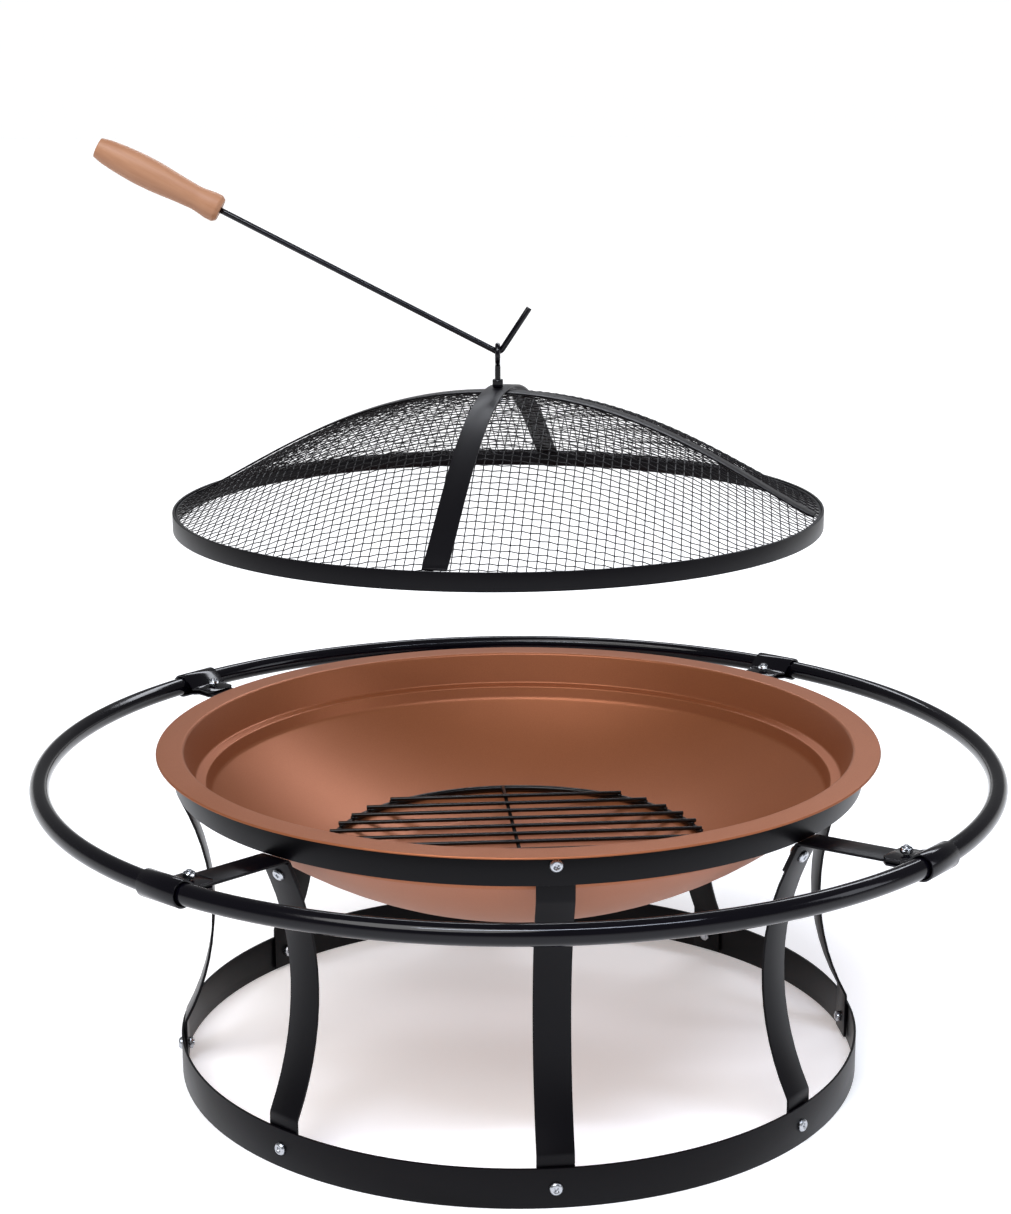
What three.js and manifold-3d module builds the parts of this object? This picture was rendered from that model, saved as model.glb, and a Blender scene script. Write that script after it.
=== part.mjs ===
// Round garden fire pit: a strap-steel stand with an outer tube ring, a copper-coloured bowl,
// a wire grate, a domed spark screen lifted above the bowl, and the poker that lifts it.
// Millimetres, +Z up. The origin is on the ground at the centre of the stand. Angles are
// measured from the front (-Y) towards the right (+X), in degrees.

import * as THREE from 'three';
import { mergeVertices } from 'three/addons/utils/BufferGeometryUtils.js';
import Module from 'manifold-3d';

const wasm = await Module();
wasm.setup();

// ---------------------------------------------------------------- driving dimensions

const GAP = 0.3;                  // clearance between pieces that touch
const STEEL = 2.5;                // thickness of all strap steel in the stand

const BASE_RADIUS = 340;          // outside of the base ring
const BASE_HEIGHT = 38;
const TOP_RADIUS = 337.5;         // outside of the top ring
const TOP_LOW = 298.5;            // lower and upper edge of the top ring
const TOP_HIGH = 328.5;

const LEG_COUNT = 8;
const LEG_FIRST_ANGLE = 5.5;      // the leg nearest the front
const LEG_WIDTH = 34;
const LEG_BOTTOM = 3;
const LEG_TOP = 326.5;
const LEG_BOW_RADIUS = 246;       // the legs bow inwards on this radius
const LEG_WAIST_RADIUS = 304;     // distance of the bow from the centre of the stand
const LEG_WAIST_HEIGHT = 168;
const LEG_STRAIGHT_FROM = 270;    // a bracket leg is straight above this height
const BRACKET_LEG_TOP = 294.6;

const ARM_WIDTH = 32;
const ARM_MIDDLE = 296.85;        // height of the middle of the arm strap at its elbow
const ARM_RISE = 3;               // degrees that the arm rises outwards
const ARM_END = 452;              // outer end of the arm, from the centre of the stand
const TAB_BELOW_SCREW = 14;       // how far the arm's bent tab reaches below its screw

const TUBE_RING_RADIUS = 465.5;   // middle of the outer tube
const TUBE_RING_HEIGHT = 305.7;
const TUBE_RADIUS = 9.5;
const TUBE_WALL = 1.2;
const SPIGOT_LENGTH = 20;         // reduced end that plugs into the next quarter

const CLAMP_STEEL = 2;
const CLAMP_WIDTH = 46;           // length of the sleeve along the tube
const CLAMP_PLATE_WIDTH = 36;
const CLAMP_PLATE_START = 424;    // inner end of the plates, from the centre of the stand
const CLAMP_CLEARANCE = 0.9;      // between the tube and the strap round it
const CLAMP_CHAMFER = 5;
const CLAMP_NECK = [24, 15];      // the plate widens to the sleeve this far inside the tube's middle
const CLAMP_REACH = 20;           // the sleeve's outer side is less than this from the tube's middle
const CLAMP_BOLT_RADIUS = 438;    // distance of the clamp bolt from the centre of the stand
const CLAMP_PINCH = 447;          // the plates part here to go round the tube
const CAP_NUT_BASE = 307.4;
const CAP_NUT_RADIUS = 5.77;
const CAP_NUT_HEX = 5;            // height of the nut below its dome

const SCREW_RADIUS = 2.9;         // M6 shank
const HOLE_RADIUS = 3.3;
const SCREW_HEAD_RADIUS = 6;
const SCREW_HEAD_HEIGHT = 3.4;
const SCREW_HEAD_EDGE = [1.2, 0.8];   // how far the head's rounded edge reaches in and down
const SCREW_GRIP = 6.4;           // from the underside of the head to the nut
const NUT_RADIUS = 5.6;
const NUT_HEIGHT = 4.6;
const SCREW_TAIL = 0.4;
const BASE_SCREW_HEIGHT = 19;
const TOP_SCREW_HEIGHT = 317;
const BRACKET_SCREW_HEIGHT = 281;

const BOWL_STEEL = 1.2;
const BOWL_FLOOR = 193.8;         // middle of the sheet at the flat bottom
const BOWL_ARC_RADIUS = 466.4;    // the dished part is an arc centred on the axis
const BOWL_ARC_CENTRE = 635.6;
const BOWL_FLAT_RADIUS = 143;

const GRATE_RADIUS = 190;
const GRATE_HEIGHT = 214.95;      // middle of the hoop's wire
const HOOP_WIRE = 3.25;           // wire radii
const BAR_WIRE = 2.1;
const BAR_PITCH = 24.4;
const BARS_EACH_SIDE = 6;         // of the middle bar
const BAR_OVERHANG = 4;
const GRATE_TURN = 5;

const SCREEN_OFFSET = [-18.5, 3.5];   // where the lifted screen hangs
const SCREEN_RADIUS = 312;
const SCREEN_LOW = 547.5;         // lower edge of the rim
const RIM_HEIGHT = 17;
const DOME_EDGE = 13;             // the mesh meets the rim this far above its lower edge
const DOME_RISE = 109.5;
const DOME_CROWN = 2.07;          // a larger power flattens the crown
const DOME_FLARE = 1.24;          // a larger power flattens the edge
const MESH_THICKNESS = 0.9;
const STRAP_WIDTH = 22;
const STRAP_STEEL = 2;
const STRAP_CLEARANCE = 0.9;      // upright distance between mesh and strap
const STRAP_REACH = 0.985;        // share of the dome's radius that the straps cover
const STRAP_A_ANGLE = -9.7;
const STRAP_B_ANGLE = 77.5;

const EYE_WIRE = 2.5;             // radius
const EYE_TOP = 716.6;            // middle of the wire at the top of the eye
const EYE_HALF_WIDTH = 8.5;
const EYE_NUT_RADIUS = 5.75;
const EYE_NUT_HEIGHT = 8;
const LOCK_NUT_HEIGHT = 5;

const ROD_RADIUS = 2.8;
const ROD_BEND = 5.7;             // the rod bends round the wire of the eye on this radius
const ROD_RISE = 27.3;            // slope of the long leg
const HOOK_RISE = 56.5;           // slope of the short leg
const ROD_LENGTH = 289;           // straight rod in front of the handle
const ROD_IN_HANDLE = 60;
const HOOK_LENGTH = 46;
const HANDLE_LENGTH = 127;

const RING_FACETS = 48;           // a multiple of the leg count, so a facet backs each leg
const BOWL_FACETS = 40;
const DOME_FACETS = 32;

// ---------------------------------------------------------------- materials

const finish = (color, roughness, metalness) => () => (
  new THREE.MeshStandardMaterial({ color, roughness, metalness }));
const paint = finish(0x17171b, 0.42, 0.35);
const copperPaint = finish(0xa9714f, 0.4, 0.6);
const zinc = finish(0xb9bcc2, 0.28, 0.95);
const chrome = finish(0xd6d8dc, 0.1, 1.0);
const enamel = finish(0x121214, 0.35, 0.2);
const beech = finish(0xd9b385, 0.6, 0.0);

// ---------------------------------------------------------------- helpers

const rad = THREE.MathUtils.degToRad;
const group = new THREE.Group();

function add(name, geometry, material, parent = group) {
  const mesh = new THREE.Mesh(geometry, material);
  mesh.name = name;
  parent.add(mesh);
  return mesh;
}

function toSolid(geometry) {
  const bare = geometry.clone();
  bare.deleteAttribute('normal');
  bare.deleteAttribute('uv');
  const merged = mergeVertices(bare, 1e-3);
  const vertProperties = new Float32Array(merged.attributes.position.array);
  const triVerts = new Uint32Array(merged.index.array);
  return new wasm.Manifold(new wasm.Mesh({ numProp: 3, vertProperties, triVerts }));
}

function fromSolid(solid) {
  const mesh = solid.getMesh();
  const geometry = new THREE.BufferGeometry();
  geometry.setAttribute('position', new THREE.BufferAttribute(new Float32Array(mesh.vertProperties), 3));
  geometry.setIndex(new THREE.BufferAttribute(new Uint32Array(mesh.triVerts), 1));
  geometry.computeVertexNormals();
  return geometry;
}

function cut(body, tools) {
  return fromSolid(tools.map(toSolid).reduce((rest, tool) => rest.subtract(tool), toSolid(body)));
}

const join = (pieces) => fromSolid(pieces.map(toSolid).reduce((whole, piece) => whole.add(piece)));
const keep = (body, tool) => fromSolid(toSolid(body).intersect(toSolid(tool)));

// A solid of revolution about +Z. The profile is [radius, height] points, counter-clockwise
// with the radius to the right, closed on itself or with both ends on the axis.
function turned(profile, facets, firstAngle = 0) {
  const points = profile.map(([r, z]) => new THREE.Vector2(r, z));
  const geometry = new THREE.LatheGeometry(points, facets, rad(firstAngle), 2 * Math.PI);
  return geometry.rotateX(Math.PI / 2);
}

// A closed profile of the given thickness about a line of [radius, height] points. A point on
// the axis stays on it.
function thickened(line, thickness) {
  const side = (sign) => line.map((point, i) => {
    const before = line[Math.max(i - 1, 0)];
    const after = line[Math.min(i + 1, line.length - 1)];
    const unit = (a, b) => new THREE.Vector2(b[0] - a[0], b[1] - a[1]).normalize();
    const inDirection = i === 0 ? unit(point, after) : unit(before, point);
    const outDirection = i === line.length - 1 ? inDirection : unit(point, after);
    const along = inDirection.clone().add(outDirection).normalize();
    const stretch = thickness / 2 / along.dot(inDirection);
    const shift = point[0] === 0 ? 0 : sign * stretch * along.y;
    return [point[0] + shift, point[1] - sign * stretch * along.x];
  });
  return [...side(1), ...side(-1).reverse()];
}

// A strap of the given width across the front, bent to a line of [radius, height] points.
function strap(line, thickness, width) {
  const shape = new THREE.Shape(thickened(line, thickness).map(([r, z]) => new THREE.Vector2(r, z)));
  const geometry = new THREE.ExtrudeGeometry(shape, { depth: width, bevelEnabled: false, steps: 1 });
  geometry.translate(0, 0, -width / 2);
  const toFront = new THREE.Matrix4().makeBasis(
    new THREE.Vector3(0, -1, 0), new THREE.Vector3(0, 0, 1), new THREE.Vector3(-1, 0, 0));
  return geometry.applyMatrix4(toFront);
}

// A drill for a hole in the front, at [radius, height], tilted up by `tilt` degrees outwards.
function radialDrill([r, z], tilt = 0, length = 24) {
  const drill = new THREE.CylinderGeometry(HOLE_RADIUS, HOLE_RADIUS, length, 10);
  return drill.rotateX(rad(tilt)).translate(0, -r, z);
}

function uprightDrill(r, low, high) {
  const drill = new THREE.CylinderGeometry(HOLE_RADIUS, HOLE_RADIUS, high - low, 10);
  return drill.rotateX(Math.PI / 2).translate(0, -r, (low + high) / 2);
}

function hexPrism(radius, low, high) {
  const prism = new THREE.CylinderGeometry(radius, radius, high - low, 6);
  return prism.rotateX(Math.PI / 2).translate(0, 0, (low + high) / 2);
}

const arcPoints = (centre, radius, from, to, steps) => Array.from({ length: steps + 1 }, (_, i) => {
  const angle = rad(from + (to - from) * i / steps);
  return [centre[0] + radius * Math.cos(angle), centre[1] + radius * Math.sin(angle)];
});

const steps = (count) => Array.from({ length: count + 1 }, (_, i) => i / count);

const legAngles = Array.from({ length: LEG_COUNT }, (_, i) => LEG_FIRST_ANGLE + i * 360 / LEG_COUNT);
const isBracketLeg = (i) => i % 2 === 1;

// ---------------------------------------------------------------- stand

// Flat facets of the rings back the flat legs, so their inner faces lie a little further in.
const facetFactor = Math.cos(Math.PI / RING_FACETS);
const baseLegRadius = (BASE_RADIUS - STEEL) * facetFactor - GAP - STEEL / 2;
const topLegRadius = (TOP_RADIUS - STEEL) * facetFactor - GAP - STEEL / 2;

function ring(outer, low, high) {
  const inner = outer - STEEL;
  const profile = [[inner, low], [outer, low], [outer, high], [inner, high], [inner, low]];
  const halfFacet = 180 / RING_FACETS;
  return turned(profile, RING_FACETS, LEG_FIRST_ANGLE + halfFacet);
}

const bowCentre = [LEG_WAIST_RADIUS + LEG_BOW_RADIUS, LEG_WAIST_HEIGHT];
const bowRadiusAt = (z) => bowCentre[0] - Math.sqrt(LEG_BOW_RADIUS ** 2 - (z - bowCentre[1]) ** 2);
const bowHalfHeight = (r) => Math.sqrt(LEG_BOW_RADIUS ** 2 - (bowCentre[0] - r) ** 2);
const bowAngleAt = (z) => 180 - THREE.MathUtils.radToDeg(Math.asin((z - bowCentre[1]) / LEG_BOW_RADIUS));

// The straight upper end of a bracket leg leans outwards at the slope of the bow.
const straightStart = [bowRadiusAt(LEG_STRAIGHT_FROM), LEG_STRAIGHT_FROM];
const leanAngle = 180 - bowAngleAt(LEG_STRAIGHT_FROM);
const leanAt = (z) => [straightStart[0] + (z - LEG_STRAIGHT_FROM) * Math.tan(rad(leanAngle)), z];
const bracketScrew = leanAt(BRACKET_SCREW_HEIGHT);

function leg(bracket) {
  const bowLow = LEG_WAIST_HEIGHT - bowHalfHeight(baseLegRadius);
  const bowHigh = bracket ? LEG_STRAIGHT_FROM : LEG_WAIST_HEIGHT + bowHalfHeight(topLegRadius);
  const bow = arcPoints(bowCentre, LEG_BOW_RADIUS, bowAngleAt(bowLow), bowAngleAt(bowHigh), 14);
  const top = bracket ? leanAt(BRACKET_LEG_TOP) : [topLegRadius, LEG_TOP];
  const body = strap([[baseLegRadius, LEG_BOTTOM], ...bow, top], STEEL, LEG_WIDTH);
  const leaningDrill = radialDrill(bracketScrew, -leanAngle, 12);
  const levelDrill = radialDrill([topLegRadius, TOP_SCREW_HEIGHT]);
  const baseDrill = radialDrill([baseLegRadius, BASE_SCREW_HEIGHT]);
  return cut(body, [baseDrill, bracket ? leaningDrill : levelDrill]);
}

const onLegs = (indices, tool) => indices.map((i) => tool().rotateZ(rad(legAngles[i])));

const allLegs = legAngles.map((_, i) => i);
const plainLegs = allLegs.filter((i) => !isBracketLeg(i));
const bracketLegs = allLegs.filter(isBracketLeg);

const baseHole = () => radialDrill([BASE_RADIUS - STEEL / 2, BASE_SCREW_HEIGHT]);
const topHole = () => radialDrill([TOP_RADIUS - STEEL / 2, TOP_SCREW_HEIGHT]);
add('base_ring', cut(ring(BASE_RADIUS, 0, BASE_HEIGHT), onLegs(allLegs, baseHole)), paint());
add('top_ring', cut(ring(TOP_RADIUS, TOP_LOW, TOP_HIGH), onLegs(plainLegs, topHole)), paint());

const legShapes = [leg(false), leg(true)];
allLegs.forEach((i) => {
  const mesh = add(`leg_${i + 1}`, legShapes[isBracketLeg(i) ? 1 : 0], paint());
  mesh.rotation.z = rad(legAngles[i]);
});

// Round-head screw with its nut, along -Y with the underside of the head at the origin.
function legScrew() {
  const nutStart = -SCREW_GRIP;
  const nutEnd = nutStart - NUT_HEIGHT;
  const tail = nutEnd - SCREW_TAIL;
  const profile = [
    [0, tail], [SCREW_RADIUS, tail], [SCREW_RADIUS, nutEnd], [NUT_RADIUS, nutEnd], [NUT_RADIUS, nutStart],
    [SCREW_RADIUS, nutStart], [SCREW_RADIUS, 0], [SCREW_HEAD_RADIUS, 0],
    [SCREW_HEAD_RADIUS - SCREW_HEAD_EDGE[0], SCREW_HEAD_HEIGHT - SCREW_HEAD_EDGE[1]],
    [0, SCREW_HEAD_HEIGHT]];
  return turned(profile, 8).rotateX(Math.PI / 2);
}

const screwShape = legScrew();
function addScrew(name, angle, [r, z], tilt = 0) {
  const turn = new THREE.Group();
  turn.rotation.z = rad(angle);
  group.add(turn);
  const mesh = add(name, screwShape, zinc(), turn);
  mesh.position.set(0, -r, z);
  mesh.rotation.x = rad(tilt);
}

const headOut = STEEL / 2 + GAP;
const leanOut = [Math.cos(rad(leanAngle)), -Math.sin(rad(leanAngle))];
allLegs.forEach((i) => {
  addScrew(`base_screw_${i + 1}`, legAngles[i], [BASE_RADIUS + GAP, BASE_SCREW_HEIGHT]);
  if (isBracketLeg(i)) {
    const place = [bracketScrew[0] + headOut * leanOut[0], bracketScrew[1] + headOut * leanOut[1]];
    addScrew(`bracket_screw_${i + 1}`, legAngles[i], place, leanAngle);
  } else {
    addScrew(`top_screw_${i + 1}`, legAngles[i], [TOP_RADIUS + GAP, TOP_SCREW_HEIGHT]);
  }
});

// ---------------------------------------------------------------- bracket arms, clamps and tube

const inwards = STEEL + GAP;
const tabAtScrew = [bracketScrew[0] - inwards * leanOut[0], bracketScrew[1] - inwards * leanOut[1]];
const tabAt = (z) => [tabAtScrew[0] + (z - tabAtScrew[1]) * Math.tan(rad(leanAngle)), z];
const armAt = (r) => ARM_MIDDLE + (r - tabAt(ARM_MIDDLE)[0]) * Math.tan(rad(ARM_RISE));
const boltInArm = armAt(CLAMP_BOLT_RADIUS);
const plateGap = STEEL / 2 + GAP + CLAMP_STEEL / 2;

function bracketArm() {
  const line = [
    tabAt(tabAtScrew[1] - TAB_BELOW_SCREW), tabAt(ARM_MIDDLE), [ARM_END, armAt(ARM_END)]];
  const holes = [
    radialDrill(tabAtScrew, -leanAngle, 8),
    uprightDrill(CLAMP_BOLT_RADIUS, boltInArm - 5, boltInArm + 5)];
  return cut(strap(line, STEEL, ARM_WIDTH), holes);
}

// Where a line from a point touches a circle above (side 1) or below (side -1), in degrees.
function touchAngle(centre, radius, point, side) {
  const [r, z] = [point[0] - centre[0], point[1] - centre[1]];
  const towardsPoint = Math.atan2(z, r);
  return THREE.MathUtils.radToDeg(towardsPoint - side * Math.acos(radius / Math.hypot(r, z)));
}

// Strap wrapped round the tube; its two flat ends grip the arm from above and below.
function tubeClamp() {
  const wrapRadius = TUBE_RADIUS + CLAMP_CLEARANCE + CLAMP_STEEL / 2;
  const centre = [TUBE_RING_RADIUS, TUBE_RING_HEIGHT];
  const plateAt = (r, side) => [r, armAt(r) + side * plateGap];
  const pinches = [-1, 1].map((side) => plateAt(CLAMP_PINCH, side));
  const [first, last] = [-1, 1].map((side, i) => touchAngle(centre, wrapRadius, pinches[i], side));
  const wrap = arcPoints(centre, wrapRadius, first, last + 360, 12);
  const line = [
    plateAt(CLAMP_PLATE_START, -1), pinches[0], ...wrap, pinches[1], plateAt(CLAMP_PLATE_START, 1)];
  const half = CLAMP_WIDTH / 2;
  const plate = CLAMP_PLATE_WIDTH / 2;
  const [neckStart, neckEnd] = CLAMP_NECK.map((inside) => TUBE_RING_RADIUS - inside);
  const outline = [
    [plate - CLAMP_CHAMFER, CLAMP_PLATE_START - 1], [plate, CLAMP_PLATE_START + CLAMP_CHAMFER],
    [plate, neckStart], [half, neckEnd], [half, TUBE_RING_RADIUS + CLAMP_REACH]];
  const mirrored = outline.map(([x, r]) => [-x, r]).reverse();
  const plan = new THREE.Shape([...outline, ...mirrored].map(([x, r]) => new THREE.Vector2(x, -r)));
  const depth = 2 * CLAMP_WIDTH;
  const block = new THREE.ExtrudeGeometry(plan, { depth, bevelEnabled: false });
  block.translate(0, 0, TUBE_RING_HEIGHT - depth / 2);
  const blank = keep(strap(line, CLAMP_STEEL, CLAMP_WIDTH), block);
  return cut(blank, [uprightDrill(CLAMP_BOLT_RADIUS, boltInArm - 8, boltInArm + 8)]);
}

function clampBolt() {
  const tiltAllowance = SCREW_HEAD_RADIUS * Math.tan(rad(ARM_RISE));
  const underHead = boltInArm - plateGap - CLAMP_STEEL / 2 - tiltAllowance - GAP;
  const faceOfHead = underHead - SCREW_HEAD_HEIGHT;
  const end = CAP_NUT_BASE + CAP_NUT_HEX + 2;
  const profile = [
    [0, faceOfHead], [SCREW_HEAD_RADIUS - SCREW_HEAD_EDGE[0], faceOfHead + SCREW_HEAD_EDGE[1]],
    [SCREW_HEAD_RADIUS, underHead], [SCREW_RADIUS, underHead], [SCREW_RADIUS, end], [0, end]];
  return turned(profile, 8).translate(0, -CLAMP_BOLT_RADIUS, 0);
}

function capNut() {
  const dome = turned([[0, 3], [4.7, 3], [4.7, 8.5], [3.3, 11.6], [0, 13]], 10);
  const boreRadius = SCREW_RADIUS + GAP;
  const boreEnd = CAP_NUT_HEX + 3;
  const bore = turned([[0, -1], [boreRadius, -1], [boreRadius, boreEnd], [0, boreEnd]], 8);
  const nut = cut(join([hexPrism(CAP_NUT_RADIUS, 0, CAP_NUT_HEX), dome]), [bore]);
  return nut.translate(0, -CLAMP_BOLT_RADIUS, CAP_NUT_BASE);
}

// One quarter of the outer ring: a straight tube with a reduced end, bent to the ring's arc.
function quarterTube() {
  const bore = TUBE_RADIUS - TUBE_WALL;
  const spigot = bore - GAP;
  const spigotBore = spigot - TUBE_WALL;
  const length = TUBE_RING_RADIUS * Math.PI / 2 - GAP;
  const inClamp = CLAMP_WIDTH / 2;
  const between = steps(7).map((share) => inClamp + (length - 2 * inClamp) * share);
  const rows = [inClamp / 2, ...between, length - inClamp / 2];
  const profile = [
    [spigotBore, -SPIGOT_LENGTH], [spigot, -SPIGOT_LENGTH], [spigot, 0], [TUBE_RADIUS, 0],
    ...rows.map((y) => [TUBE_RADIUS, y]), [TUBE_RADIUS, length], [bore, length],
    ...rows.map((y) => [bore, y]).reverse(), [spigotBore, 0], [spigotBore, -SPIGOT_LENGTH]];
  const points = profile.map(([r, y]) => new THREE.Vector2(r, y));
  const tube = new THREE.LatheGeometry(points, 8);
  const position = tube.attributes.position;
  for (let i = 0; i < position.count; i += 1) {
    const angle = position.getY(i) / TUBE_RING_RADIUS;
    const radius = TUBE_RING_RADIUS + position.getX(i);
    const height = TUBE_RING_HEIGHT + position.getZ(i);
    position.setXYZ(i, radius * Math.sin(angle), -radius * Math.cos(angle), height);
  }
  return tube;
}

const armShape = bracketArm();
const clampShape = tubeClamp();
const clampBoltShape = clampBolt();
const capNutShape = capNut();
const tubeShape = quarterTube();
bracketLegs.forEach((legIndex, i) => {
  const set = [
    add(`bracket_arm_${i + 1}`, armShape, paint()),
    add(`outer_tube_${i + 1}`, tubeShape, paint()),
    add(`tube_clamp_${i + 1}`, clampShape, paint()),
    add(`clamp_bolt_${i + 1}`, clampBoltShape, zinc()),
    add(`cap_nut_${i + 1}`, capNutShape, chrome())];
  set.forEach((mesh) => { mesh.rotation.z = rad(legAngles[legIndex]); });
});

// ---------------------------------------------------------------- bowl and grate

const bowlArcAt = (r) => [r, BOWL_ARC_CENTRE - Math.sqrt(BOWL_ARC_RADIUS ** 2 - r ** 2)];
const bowlLine = [
  [0, BOWL_FLOOR], [BOWL_FLAT_RADIUS, BOWL_FLOOR],
  ...[157, 182, 210, 238, 266, 292].map(bowlArcAt),
  [303, 284], [307, 294.5], [310, 296.5], [315.5, 297], [319.4, 301.5],
  [327.4, 326.3], [330.5, 329.6], [352, 329.6], [354.4, 328.8]];
add('bowl', turned(thickened(bowlLine, BOWL_STEEL), BOWL_FACETS), copperPaint());

function grateHoop() {
  const wire = arcPoints([GRATE_RADIUS, GRATE_HEIGHT], HOOP_WIRE, 0, 360, 6);
  return turned(wire, 36);
}

function grateBars() {
  const barHeight = GRATE_HEIGHT + HOOP_WIRE + GAP + BAR_WIRE;
  const bars = [];
  for (let i = -BARS_EACH_SIDE; i <= BARS_EACH_SIDE; i += 1) {
    const y = i * BAR_PITCH;
    const length = 2 * (Math.sqrt(GRATE_RADIUS ** 2 - y ** 2) + BAR_OVERHANG);
    const bar = new THREE.CylinderGeometry(BAR_WIRE, BAR_WIRE, length, 6);
    bars.push(bar.rotateZ(Math.PI / 2).translate(0, y, barHeight));
  }
  const crossLength = 2 * (GRATE_RADIUS - HOOP_WIRE - GAP);
  const crossBar = new THREE.CylinderGeometry(BAR_WIRE, BAR_WIRE, crossLength, 6);
  bars.push(crossBar.translate(0, 0, barHeight - 1.7 * BAR_WIRE));
  return join(bars);
}

add('grate_hoop', grateHoop(), enamel()).rotation.z = rad(GRATE_TURN);
add('grate_bars', grateBars(), enamel()).rotation.z = rad(GRATE_TURN);

// ---------------------------------------------------------------- spark screen

const screen = new THREE.Group();
screen.position.set(SCREEN_OFFSET[0], SCREEN_OFFSET[1], 0);
group.add(screen);

// The dome is bell-shaped: level at the rim, steepest half way, level again at the crown.
const domeRadius = SCREEN_RADIUS - STEEL - GAP;
const domeShare = (s) => (1 - s ** DOME_CROWN) ** DOME_FLARE;
const domeAt = (s) => [domeRadius * s, SCREEN_LOW + DOME_EDGE + DOME_RISE * domeShare(s)];

const rimInner = SCREEN_RADIUS - STEEL;
const rimProfile = [
  [rimInner, SCREEN_LOW], [SCREEN_RADIUS, SCREEN_LOW], [SCREEN_RADIUS, SCREEN_LOW + RIM_HEIGHT],
  [rimInner, SCREEN_LOW + RIM_HEIGHT], [rimInner, SCREEN_LOW]];
add('screen_rim', turned(rimProfile, RING_FACETS), paint(), screen);

const crownHole = uprightDrill(0, SCREEN_LOW + DOME_RISE - 30, SCREEN_LOW + DOME_RISE + 50);
const meshLine = steps(9).map((s) => domeAt(s * facetFactor));
const meshShell = turned(thickened(meshLine, MESH_THICKNESS), DOME_FACETS);
add('screen_mesh', cut(meshShell, [crownHole]), enamel(), screen);

const strapRise = MESH_THICKNESS / 2 + STRAP_STEEL / 2 + STRAP_CLEARANCE;

// The first strap lies on the mesh; the second rises over it at the crown.
function domeStrap(extraAtCrown) {
  const raised = steps(10).map((share) => {
    const [r, z] = domeAt(share * STRAP_REACH);
    return [r, z + strapRise + extraAtCrown * domeShare(share)];
  });
  const line = [...raised.slice(1).map(([r, z]) => [-r, z]).reverse(), ...raised];
  return cut(strap(line, STRAP_STEEL, STRAP_WIDTH), [crownHole]);
}

const secondStrapRise = STRAP_STEEL + 2 * GAP;
add('screen_strap_b', domeStrap(0), paint(), screen).rotation.z = rad(STRAP_B_ANGLE);
add('screen_strap_a', domeStrap(secondStrapRise), paint(), screen).rotation.z = rad(STRAP_A_ANGLE);

// A route through given points; a section swept along it keeps one ring at each point.
class Route extends THREE.Curve {
  constructor(points) {
    super();
    this.points = points.map(([x, y, z]) => new THREE.Vector3(x, y, z));
  }

  getUtoTmapping(u) {
    return u;
  }

  getPoint(t) {
    const place = Math.min(Math.max(t, 0), 1) * (this.points.length - 1);
    const i = Math.min(Math.floor(place), this.points.length - 2);
    return this.points[i].clone().lerp(this.points[i + 1], place - i);
  }
}

function wireAlong(points, radius) {
  const section = new THREE.Shape().absarc(0, 0, radius, 0, 2 * Math.PI);
  const settings = { steps: points.length - 1, curveSegments: 4, extrudePath: new Route(points) };
  return new THREE.ExtrudeGeometry(section, settings);
}

const crown = domeAt(0)[1] + strapRise + secondStrapRise + STRAP_STEEL / 2;
const nutTop = crown + GAP + EYE_NUT_HEIGHT;
const lockNutTop = domeAt(0)[1] - MESH_THICKNESS / 2 - GAP;

// Lifting eye: the wire rises from the shank, goes round and stops just short of the shank.
function liftingEye() {
  const loopRadius = EYE_HALF_WIDTH;
  const loopCentre = EYE_TOP - loopRadius;
  const loop = arcPoints([0, loopCentre], loopRadius, -20, 200, 12).map(([y, z]) => [0, y, z]);
  const neck = nutTop + 4;
  const route = [
    [0, 0, lockNutTop - LOCK_NUT_HEIGHT - 3], [0, 0, neck], [0, 2, neck + 4], ...loop,
    [0, -EYE_WIRE - 3.2, neck + 3.5]];
  return wireAlong(route, EYE_WIRE);
}

function eyeNut(low, height) {
  const bore = uprightDrill(0, low - 2, low + height + 2);
  return cut(hexPrism(EYE_NUT_RADIUS, low, low + height), [bore]);
}

add('lifting_eye', liftingEye(), paint(), screen);
add('eye_nut', eyeNut(crown + GAP, EYE_NUT_HEIGHT), paint(), screen);
add('eye_lock_nut', eyeNut(lockNutTop - LOCK_NUT_HEIGHT, LOCK_NUT_HEIGHT), zinc(), screen);

// ---------------------------------------------------------------- poker

const longLeg = [-Math.cos(rad(ROD_RISE)), Math.sin(rad(ROD_RISE))];
const shortLeg = [Math.cos(rad(HOOK_RISE)), Math.sin(rad(HOOK_RISE))];

function pokerRod() {
  const bend = arcPoints([0, EYE_TOP], ROD_BEND, 270 - ROD_RISE, 270 + HOOK_RISE, 6);
  const along = (from, way, distance) => [from[0] + way[0] * distance, from[1] + way[1] * distance];
  const farEnd = along(bend[0], longLeg, ROD_LENGTH + ROD_IN_HANDLE);
  const tip = along(bend[bend.length - 1], shortLeg, HOOK_LENGTH);
  return wireAlong([farEnd, ...bend, tip].map(([x, z]) => [x, 0, z]), ROD_RADIUS);
}

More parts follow.
